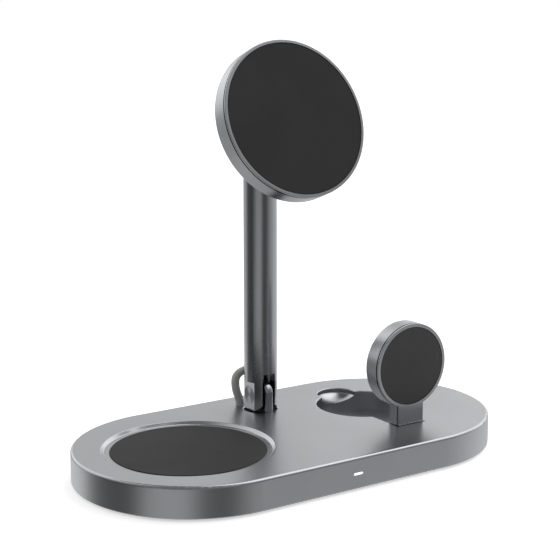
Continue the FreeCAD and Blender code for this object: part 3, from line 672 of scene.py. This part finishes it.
@dataclass(frozen=True)
class BoardFinish:
    """A circuit board's solder mask over faint copper tracks.

    Attributes:
        name: The material's name.
        colour: The mask's colour.
        track: The width of a track and its gap in metres.
        relief: The height of a track under the mask, in metres.
    """

    name: str
    colour: Colour
    track: float = 0.0012
    relief: float = 0.00003

    def make(self, groups: EffectGroups) -> bpy.types.Material:
        """Build the material."""
        surface = Surface(self.name)
        surface.set(Specular_IOR_Level=0.5)
        tracks = surface.graph.add(
            "TexBrick",
            {
                "Vector": surface.where,
                "Scale": 1.0,
                "Mortar Size": self.track * 0.12,
                "Brick Width": self.track * 9.0,
                "Row Height": self.track,
            },
        )
        tone = surface.graph.blend(tracks.outputs["Fac"], opaque(self.colour, 1.7), opaque(self.colour))
        surface.feed("Base Color", tone)
        grain = surface.group(groups.grain, Vector=surface.where, Scale=BOARD_GRAIN)
        surface.feed("Roughness", surface.graph.remap(grain.outputs["Height"], 0.4, 1.2, 0.34, 0.46))
        surface.bump(tracks.outputs["Fac"], self.relief)
        return surface.material


@dataclass(frozen=True)
class LensFinish:
    """Milky plastic lit from behind.

    Attributes:
        name: The material's name.
        colour: The plastic's colour.
        glow: The strength of the light that comes through.
    """

    name: str
    colour: Colour
    glow: float

    def make(self, groups: EffectGroups) -> bpy.types.Material:
        """Build the material."""
        surface = Surface(self.name)
        surface.set(Emission_Strength=self.glow, Coat_Weight=0.3)
        graph = surface.graph
        cloud = surface.group(groups.grain, Vector=surface.where, Scale=LENS_CLOUD)
        mask = graph.remap(cloud.outputs["Height"], 0.5, 1.1, 0.0, 1.0)
        surface.feed("Base Color", graph.blend(mask, opaque(self.colour, 0.94), opaque(self.colour)))
        surface.feed("Emission Color", graph.blend(mask, opaque(self.colour, 0.9), opaque(self.colour)))
        surface.feed("Roughness", graph.remap(mask, 0.0, 1.0, 0.26, 0.36))
        return surface.material


def new_object(name: str, mesh: bpy.types.Mesh, material: bpy.types.Material) -> bpy.types.Object:
    """Put a mesh into the scene under one material.

    Args:
        name: The piece's name.
        mesh: The finished mesh, in the frame's coordinates.
        material: The material of the whole piece.

    Returns:
        The new object.
    """
    mesh.materials.clear()
    mesh.materials.append(material)
    piece = bpy.data.objects.new(name, mesh)
    bpy.context.scene.collection.objects.link(piece)
    return piece


@dataclass
class SlackCable:
    """A short cable between two bodies that a hinge joins.

    Attributes:
        name: The piece's name.
        node: The CAD node that it stands for.
        route: The route's corner points in millimetres.
        radius: The cable's radius in metres.
        bodies: The body at the route's start and the one at its end. Not used.
        bend: The points between which the cable bends, in millimetres. Not used.
    """

    name: str
    node: str
    route: list[tuple[float, float, float]]
    radius: float
    bodies: tuple[Body, Body]
    bend: tuple[tuple[float, float, float], tuple[float, float, float]]

    def spline(self) -> bpy.types.Object:
        """Make the smooth curve that has the route's points as control points."""
        curve = bpy.data.curves.new(self.name + "_line", "CURVE")
        curve.dimensions = "3D"
        spline = curve.splines.new("NURBS")
        spline.points.add(len(self.route) - 1)
        for point, place in zip(spline.points, self.route):
            point.co = (*millimetres(*place), 1.0)
        spline.order_u = 3
        spline.use_endpoint_u = True
        spline.resolution_u = 14
        curve.bevel_depth = self.radius
        curve.bevel_resolution = 7
        curve.use_fill_caps = True
        line = bpy.data.objects.new(self.name + "_line", curve)
        bpy.context.scene.collection.objects.link(line)
        return line

    def build(self, material: bpy.types.Material) -> bpy.types.Object:
        """Make the tube and hide the CAD solid.

        Args:
            material: The jacket's material.

        Returns:
            The cable.
        """
        line = self.spline()
        bpy.context.view_layer.update()
        mesh = bpy.data.meshes.new_from_object(line.evaluated_get(bpy.context.evaluated_depsgraph_get()))
        curve = line.data
        bpy.data.objects.remove(line)
        bpy.data.curves.remove(curve)
        mesh.shade_smooth()
        piece = new_object(self.name, mesh, material)
        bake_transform(piece)
        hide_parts(self.node)
        return piece


@dataclass
class SocketContacts:
    """The rows of flat contacts on the power socket's tongue.

    Attributes:
        node: The CAD node of the tongue.
        count: The number of contacts on each side.
        pitch: The distance between contacts in metres.
        width: A contact's width in metres.
        length: A contact's length in metres.
        thickness: A contact's thickness in metres.
        setback: The distance from the tongue's tip in metres.
        tongue: The tongue's thickness in metres.
    """

    node: str = "inlet_tongue"
    count: int = 12
    pitch: float = 0.5 * MM
    width: float = 0.28 * MM
    length: float = 3.2 * MM
    thickness: float = 0.06 * MM
    setback: float = 0.5 * MM
    tongue: float = 0.7 * MM

    def build(self, material: bpy.types.Material) -> bpy.types.Object:
        """Make both rows as one piece on the tongue's two sides.

        Args:
            material: The plating.

        Returns:
            The piece.
        """
        low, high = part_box(self.node)
        middle = (low + high) / 2
        mesh = bmesh.new()
        for index in range(self.count):
            across = middle.x + (index - (self.count - 1) / 2) * self.pitch
            for side in (-1, 1):
                height = middle.z + side * (self.tongue + self.thickness) / 2
                place = Matrix.Translation((across, high.y - self.setback - self.length / 2, height))
                size = Matrix.Diagonal((self.width, self.length, self.thickness, 1.0))
                bmesh.ops.create_cube(mesh, size=1.0, matrix=place @ size)
        bmesh.ops.bevel(
            mesh,
            geom=mesh.edges[:],
            offset=self.thickness * 0.3,
            offset_type="OFFSET",
            segments=2,
            profile=0.5,
            affect="EDGES",
            material=-1,
        )
        data = bpy.data.meshes.new("socket_contacts")
        mesh.to_mesh(data)
        mesh.free()
        piece = new_object("socket_contacts", data, material)
        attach(piece, Body.BASE.value)
        return piece


@dataclass
class Dressing:
    """Which finish each CAD node takes.

    Attributes:
        nodes: The CAD objects by node name.
        mounts: The record's mounts by name.
        groups: The shared shader groups.
    """

    nodes: dict[str, bpy.types.Object]
    mounts: dict[str, dict[str, Any]]
    groups: EffectGroups

    def middle(self, node: str) -> Vector:
        """The middle of a node's box."""
        low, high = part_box(node)
        return (low + high) / 2

    def seam_shade(self, mount: str, depths: tuple[float, float]) -> PaintedSeamShade:
        """The painted shade in the groove behind a charging face, from its mount and the depths where it
        starts and ends.
        """
        face = self.mounts[mount]
        return PaintedSeamShade(Vector(face["pos_m"]), Vector(face["axis"]), *depths)

    def put(self, finish: Finish, *names: str) -> bpy.types.Material:
        """Make a finish and give it to nodes.

        Args:
            finish: The finish to make.
            names: The CAD nodes that take it.

        Returns:
            The material.
        """
        material = finish.make(self.groups)
        for name in names:
            slots = self.nodes[name].data.materials
            slots.clear()
            slots.append(material)
            LOG.info("%s takes %s", name, finish.name)
        return material

    def dress(self) -> dict[str, bpy.types.Material]:
        """Dress every CAD node.

        Returns:
            The materials that the new pieces take.
        """
        self.dress_bodies()
        cable = self.dress_soft()
        self.dress_inside()
        gold = AnodisedFinish("gold_contacts", (0.80, 0.58, 0.25), 0.25, grain=9000.0, depth=0.000004)
        return {"cable": cable, "gold": gold.make(self.groups)}

    def dress_bodies(self) -> None:
        """Dress the metal that shows outside."""
        base = AnodisedFinish("anodised_base", ANODISED_GREY, 0.31, curved=0.19)
        self.put(base, "base_shell")
        lugs = AnodisedFinish("anodised_lugs", ANODISED_GREY, 0.25)
        self.put(lugs, "hinge_lug", "head_lug")
        # The charging discs take painted shade in their seams.
        phone_seam_shade = self.seam_shade("phone_face", PHONE_SEAM_SHADE)
        phone = AnodisedFinish("anodised_phone", ANODISED_GREY, 0.25, seam_shade=phone_seam_shade)
        self.put(phone, "phone_housing", "phone_bezel")
        watch_seam_shade = self.seam_shade("watch_face", WATCH_SEAM_SHADE)
        watch = AnodisedFinish("anodised_watch", ANODISED_GREY, 0.25, seam_shade=watch_seam_shade)
        self.put(watch, "watch_back_shell", "watch_front_frame")
        post = BrightCutFinish(
            name="post_metal",
            colour=ANODISED_GREY,
            roughness=0.25,
            bright=1.3,
            hollow_shade=0.25,
            centre=self.middle("post_tube"),
            reach=4.9 * MM,
            limit=5.1 * MM,
            skin=5.85 * MM,
        )
        self.put(post, "post_tube")

    def dress_soft(self) -> bpy.types.Material:
        """Dress the faces, the rubber, the plastic and the cables.

        Returns:
            The cables' material.
        """
        self.put(SoftFinish("soft_phone_face", (0.014, 0.014, 0.015), 0.62), "phone_pad")
        self.put(SoftFinish("soft_watch_face", (0.048, 0.048, 0.049), 0.6), "watch_pad")
        self.put(SoftFinish("soft_earbud_pad", (0.007, 0.007, 0.0075), 0.7), "earbud_pad")
        rubber = SoftFinish("foot_silicone", (0.035, 0.035, 0.037), 0.7, grain=2600.0, depth=0.00004)
        self.put(rubber, "rubber_foot")
        plastic = SoftFinish("moulded_plastic", (0.022, 0.022, 0.024), 0.5, grain=2200.0, depth=0.00003)
        moulded = ("bottom_cover", "coil_carrier", "inlet_tongue", "hinge_washers", "head_washers")
        self.put(plastic, *moulded, "board_components", "lead_connector")
        jacket = SoftFinish("cable_jacket", (0.45, 0.45, 0.44), 0.6, grain=2400.0, depth=0.00008)
        return self.put(jacket, "post_cable", "base_lead", "cable_loop", "head_cable", "cable_grommet")

    def dress_inside(self) -> None:
        """Dress the pins, the screws, the windings, the boards and the lamp."""
        for name in ("hinge_pin", "hinge_nut", "head_pin", "head_nut"):
            turned = TurnedFinish("turned_" + name, TURNED_STEEL, 0.36, self.middle(name), Axis.SIDEWAYS)
            self.put(turned, name)
        plain = AnodisedFinish("plated_steel", (0.5, 0.5, 0.51), 0.28, grain=9000.0, depth=0.000006)
        screws = ("cover_screws", "lug_screws", "head_lug_screws")
        self.put(plain, *screws, "watch_hinge_pin", "power_inlet", "phone_magnets", "watch_magnet")
        coils = {"earbud_coil": Axis.UPRIGHT, "phone_coil": Axis.FACING, "watch_coil": Axis.FACING}
        for name, axis in coils.items():
            self.put(WindingFinish("winding_" + name, self.middle(name), axis), name)
        sheet = SoftFinish("ferrite_sheet", (0.05, 0.05, 0.055), 0.55, grain=1500.0, depth=0.00004)
        self.put(sheet, "earbud_ferrite", "phone_ferrite", "watch_ferrite")
        self.put(BoardFinish("solder_mask", (0.012, 0.09, 0.04)), "main_board", "phone_board")
        self.put(LensFinish("lit_lens", (0.93, 0.95, 1.0), 0.9), "indicator_lens", "indicator_led")


@dataclass
class Studio:
    """The floor, the surroundings and the camera.

    Attributes:
        camera_place: The camera's place in millimetres.
        camera_target: The point it looks at, in millimetres.
        lens: The focal length in millimetres.
        sensor: The sensor's width in millimetres.
        floor_reach: Half the floor's width in metres.
        floor_paint: The floor's own colour.
        floor_glow: The light that makes the floor white to the camera.
    """

    camera_place: tuple[float, float, float] = (-266.52, -389.59, 159.53)
    camera_target: tuple[float, float, float] = (-2.457, 1.591, 64.451)
    lens: float = 88.97
    sensor: float = 36.0
    floor_reach: float = 6.0
    floor_paint: Colour = (0.85, 0.85, 0.85)
    floor_glow: float = 0.55

    def clear(self) -> None:
        """Remove what a new file holds."""
        for item in list(bpy.data.objects):
            bpy.data.objects.remove(item)

    def camera(self) -> None:
        """Place the camera at the photograph's viewpoint."""
        data = bpy.data.cameras.new("camera")
        data.lens = self.lens
        data.sensor_width = self.sensor
        data.clip_start = 0.01
        camera = bpy.data.objects.new("camera", data)
        place, target = millimetres(*self.camera_place), millimetres(*self.camera_target)
        camera.location = place
        camera.rotation_euler = (target - place).to_track_quat("-Z", "Y").to_euler()
        bpy.context.scene.collection.objects.link(camera)
        bpy.context.scene.camera = camera

    def floor(self) -> None:
        """Lay a plain pale floor that the camera sees as white and that keeps a soft shadow."""
        mesh = bmesh.new()
        bmesh.ops.create_grid(mesh, x_segments=1, y_segments=1, size=self.floor_reach)
        data = bpy.data.meshes.new("floor")
        mesh.to_mesh(data)
        mesh.free()
        material = bpy.data.materials.new("pale_floor")
        material.use_nodes = True
        graph = Graph(material.node_tree)
        paint = graph.add("BsdfDiffuse", {"Color": opaque(self.floor_paint)})
        seen = graph.add("LightPath").outputs["Is Camera Ray"]
        white = graph.add("Emission", {"Strength": graph.math("MULTIPLY", seen, self.floor_glow)})
        both = graph.add("AddShader", {0: paint.outputs[0], 1: white.outputs[0]})
        graph.add("OutputMaterial", {"Surface": both.outputs[0]})
        floor = new_object("floor", data, material)
        floor.visible_glossy = False
        floor.visible_shadow = False

    def surroundings(self) -> None:
        """Light the object from a studio of pale and dark panels, and show the camera plain white."""
        world = bpy.data.worlds.new("studio")
        bpy.context.scene.world = world
        world.use_nodes = True
        graph = Graph(world.node_tree)
        away = Vector(self.camera_place[:2]) - Vector(self.camera_target[:2])
        direction = graph.add("TexCoord").outputs["Generated"]
        rotation = (0.0, 0.0, -math.atan2(away.y, away.x))
        turned = graph.add("Mapping", {"Vector": direction, "Rotation": rotation})
        parts = graph.add("SeparateXYZ", {0: turned.outputs[0]})
        angle = graph.math("ARCTAN2", parts.outputs["Y"], parts.outputs["X"])
        turn = graph.math("ADD", graph.math("DIVIDE", angle, math.tau), 0.5)
        height = parts.outputs["Z"]
        light = self.panels(graph, turn, FLOOR_PANELS)
        for stops, fade in UPPER_BANDS:
            light = graph.blend(graph.remap(height, *fade, 0.0, 1.0), light, self.panels(graph, turn, stops))
        light = graph.blend(graph.remap(height, *UNDER_FADE, 1.0, 0.0), light, opaque(UNDER_PANEL))
        seen = graph.add("LightPath").outputs["Is Camera Ray"]
        shown = graph.blend(seen, light, opaque(WHITE))
        background = graph.add("Background", {"Color": shown, "Strength": 1.0})
        graph.add("OutputWorld", {"Surface": background.outputs[0]})

    @staticmethod
    def panels(graph: Graph, turn: Socket, stops: Stops) -> Socket:
        """Add a round of panels.

        Args:
            graph: The world's graph.
            turn: The share of a full turn, with the camera's side in the middle.
            stops: Directions in degrees from the camera's side and the brightness there.

        Returns:
            The light of the panels.
        """
        node = graph.add("ValToRGB", {0: turn})
        ramp = node.color_ramp
        ramp.elements.remove(ramp.elements[-1])
        for index, (degrees, value) in enumerate(stops):
            place = degrees / 360 + 0.5
            stop = ramp.elements[0] if index == 0 else ramp.elements.new(place)
            stop.position = place
            stop.color = opaque(WHITE, value)
        return node.outputs["Color"]


def cables() -> list[SlackCable]:
    """The two slack cables beside the hinges.

    Returns:
        The loop behind the post's foot and the link to the phone disc.
    """
    loop = SlackCable(
        name="slack_loop",
        node="cable_loop",
        route=[
            (-0.1, 31.4, 8.7),
            (-0.1, 31.4, 13.0),
            (-2.3, 31.7, 18.3),
            (-2.0, 31.8, 23.7),
            (3.7, 31.4, 25.3),
            (3.7, 23.5, 28.95),
            (3.7, 23.5, 36.5),
        ],
        radius=CABLE_RADIUS,
        bodies=(Body.BASE, Body.POST),
        bend=((-0.1, 31.4, 13.0), (3.7, 29.5, 27.5)),
    )
    link = SlackCable(
        name="head_link",
        node="head_cable",
        route=[
            (3.7, 23.5, 94.55),
            (3.7, 23.5, 105.4),
            (3.7, 16.675, 105.0),
            (3.7, 8.303, 106.409),
            (3.7, 2.229, 108.722),
        ],
        radius=CABLE_RADIUS,
        bodies=(Body.POST, Body.HEAD),
        bend=((3.7, 16.0, 105.0), (3.7, 5.0, 107.0)),
    )
    return [loop, link]


def main() -> None:
    """Load the frame, dress it, add the pieces and set up the studio."""
    logging.basicConfig(level=logging.INFO, format="%(name)s: %(message)s")
    studio = Studio()
    studio.clear()
    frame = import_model()
    mounts = {mount["name"]: mount for mount in frame["record"]["mounts"]}
    materials = Dressing(frame["nodes"], mounts, EffectGroups()).dress()
    for cable in cables():
        piece = cable.build(materials["cable"])
        LOG.info("made %s", piece.name)
    piece = SocketContacts().build(materials["gold"])
    LOG.info("made %s", piece.name)
    studio.camera()
    studio.floor()
    studio.surroundings()
    bpy.context.scene.view_settings.view_transform = "Standard"


if __name__ == "__main__":
    main()
